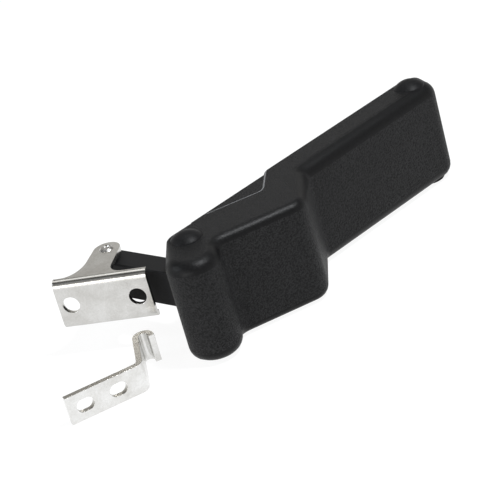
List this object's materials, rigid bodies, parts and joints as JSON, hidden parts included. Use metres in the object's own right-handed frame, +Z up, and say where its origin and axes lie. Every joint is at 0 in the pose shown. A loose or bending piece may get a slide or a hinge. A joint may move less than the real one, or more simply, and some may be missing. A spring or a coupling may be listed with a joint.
{
  "type": "draw latch",
  "caption": "Flexible rubber draw latch: a hollow pull handle on a folding arm and screw-on stainless bracket, with a loose slotted hook keeper that catches the pin in the handle's far end.",
  "frame": {"origin": "centre of the bracket's mounting face, midway between its two screw holes", "axes": "+X along the bracket plate, +Y from the mounting face to the arm pin, +Z up along the pins"},
  "size_m": [0.1067, 0.132, 0.0349],
  "materials": {
    "rubber": "fine grained semi-matte black rubber",
    "arm_plastic": "smooth black plastic",
    "plug_plastic": "smooth black plastic",
    "stainless": "polished stainless sheet",
    "pin_steel": "turned steel"
  },
  "bodies": {
    "bracket_body": {"bracket": "stainless", "arm_pin": "pin_steel"},
    "arm_body": {"arm": "arm_plastic"},
    "handle_body": {"handle": "rubber", "barrel_pin": "pin_steel", "barrel_plug_top": "plug_plastic", "barrel_plug_bottom": "plug_plastic", "keeper_pin": "pin_steel", "keeper_plug_top": "plug_plastic", "keeper_plug_bottom": "plug_plastic"},
    "keeper_body": {"keeper": "stainless"}
  },
  "joints": [
    {"name": "arm_pivot", "type": "hinge", "parent": "bracket_body", "child": "arm_body", "pos_m": [-0.0017, 0.0179, 0], "axis": [0, 0, 1], "range_deg": [-5, 42]},
    {"name": "handle_pivot", "type": "hinge", "parent": "arm_body", "child": "handle_body", "pos_m": [0.02958, 0.00049, 0], "axis": [0, 0, 1], "range_deg": [-15, 100]},
    {"name": "keeper_shift", "type": "slide", "parent": "bracket_body", "child": "keeper_body", "axis": [-0.8049, -0.5934, 0], "range_m": [0, 0.02]}
  ]
}
